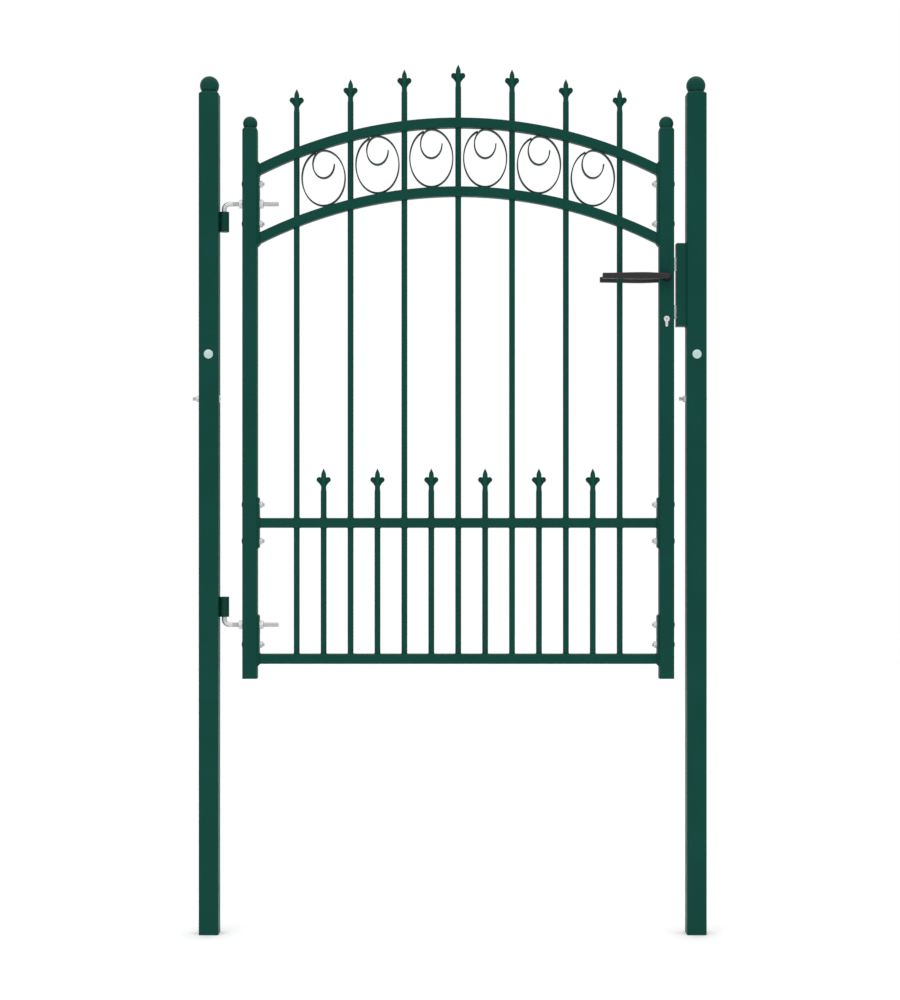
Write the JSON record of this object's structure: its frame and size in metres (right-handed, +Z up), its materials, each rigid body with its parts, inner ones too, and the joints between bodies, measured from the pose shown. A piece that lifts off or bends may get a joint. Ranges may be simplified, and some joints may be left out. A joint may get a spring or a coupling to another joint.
{
  "type": "spear-top steel garden gate",
  "caption": "Single-leaf steel garden gate with an arched, spear-topped leaf and a ring frieze, hung on L-bolts between two square posts, with a lever handle and lock.",
  "frame": {"origin": "centre of the hinge post's foot", "axes": "+X from the hinge post to the latch post, +Y to the back, +Z up the posts; the front faces -Y"},
  "size_m": [1.0486, 0.088, 1.772],
  "materials": {
    "green_coating": "satin dark green powder coat on steel",
    "green_cap": "dark green moulded plastic",
    "zinc_fastener": "bright zinc plating",
    "lock_steel": "plain steel",
    "nickel_cylinder": "satin nickel",
    "black_lever": "black satin coating"
  },
  "bodies": {
    "posts": {"hinge_post": "green_coating", "latch_post": "green_coating", "hinge_post_cap": "green_cap", "latch_post_cap": "green_cap", "upper_hinge_barrel": "green_coating", "lower_hinge_barrel": "green_coating", "strike_box": "green_coating", "post_bolts": "zinc_fastener", "post_nuts": "zinc_fastener"},
    "leaf": {"hinge_stile": "green_coating", "latch_stile": "green_coating", "hinge_stile_cap": "green_cap", "latch_stile_cap": "green_cap", "top_arch": "green_coating", "lower_arch": "green_coating", "middle_rail": "green_coating", "bottom_rail": "green_coating", "hinge_side_plates": "green_coating", "latch_side_plates": "green_coating", "tall_bar_1": "green_coating", "tall_bar_2": "green_coating", "tall_bar_3": "green_coating", "tall_bar_4": "green_coating", "tall_bar_5": "green_coating", "tall_bar_6": "green_coating", "tall_bar_7": "green_coating", "short_bar_1": "green_coating", "short_bar_2": "green_coating", "short_bar_3": "green_coating", "short_bar_4": "green_coating", "short_bar_5": "green_coating", "short_bar_6": "green_coating", "tall_spear_heads": "green_coating", "short_spear_heads": "green_coating", "ring_1": "green_coating", "ring_2": "green_coating", "ring_3": "green_coating", "ring_4": "green_coating", "ring_5": "green_coating", "ring_6": "green_coating", "plate_bolts": "zinc_fastener", "plate_nuts": "zinc_fastener", "upper_hinge_bolt": "zinc_fastener", "lower_hinge_bolt": "zinc_fastener", "hinge_nuts": "zinc_fastener", "lock_case": "lock_steel", "lock_cylinder": "nickel_cylinder"},
    "handle": {"handle_spindle": "lock_steel", "front_lever": "black_lever", "rear_lever": "black_lever"},
    "latch": {"latch_bolt": "lock_steel"},
    "dead_bolt": {"dead_bolt": "lock_steel"}
  },
  "joints": [
    {"name": "leaf_swing", "type": "hinge", "parent": "posts", "child": "leaf", "pos_m": [0.03, 0, 1.05], "axis": [0, 0, 1], "range_deg": [-90, 90]},
    {"name": "handle_turn", "type": "hinge", "parent": "leaf", "child": "handle", "pos_m": [0.931, 0, 1.3371], "axis": [0, -1, 0], "range_deg": [0, 40], "stiffness_Nm_per_rad": 1.2, "springref_deg": -28.65},
    {"name": "latch_slide", "type": "slide", "parent": "leaf", "child": "latch", "axis": [-1, 0, 0], "range_m": [0, 0.0115]},
    {"name": "dead_bolt_slide", "type": "slide", "parent": "leaf", "child": "dead_bolt", "axis": [-1, 0, 0], "range_m": [0, 0.0115]}
  ],
  "couplings": [
    {"joint": "latch_slide", "follows": "handle_turn", "m_per_rad": 0.0164}
  ]
}
